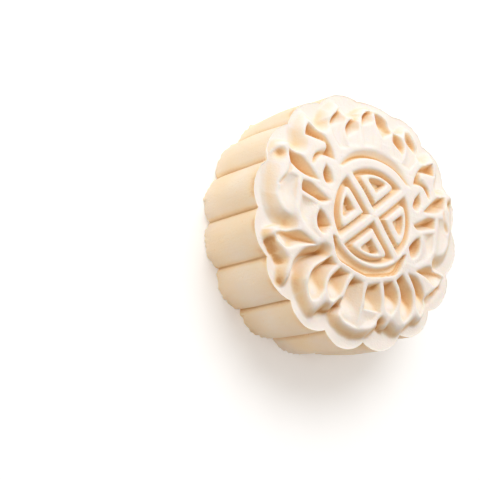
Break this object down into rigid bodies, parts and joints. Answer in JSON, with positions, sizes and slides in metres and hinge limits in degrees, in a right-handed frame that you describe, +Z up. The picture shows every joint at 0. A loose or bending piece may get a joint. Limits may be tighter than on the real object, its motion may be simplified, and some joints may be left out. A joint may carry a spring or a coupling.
{
  "type": "lychee mooncake",
  "caption": "Round snow-skin mooncake with scalloped lobed sides and a raised pressed top: a round seal between two flowers with leafy sprays, on a flat base",
  "frame": {"origin": "middle of the flat base, on the surface the cake rests on", "axes": "+Z up through the cake, out of its pressed face; +Y to the top of the ornament, which is the same on its left and right; +X to the ornament's right"},
  "size_m": [0.0648, 0.0648, 0.0285],
  "materials": {
    "snow_skin": "soft matt rice dough skin, pale cream, warmer in the hollows"
  },
  "bodies": {
    "root": {"mooncake": "snow_skin"}
  },
  "joints": []
}
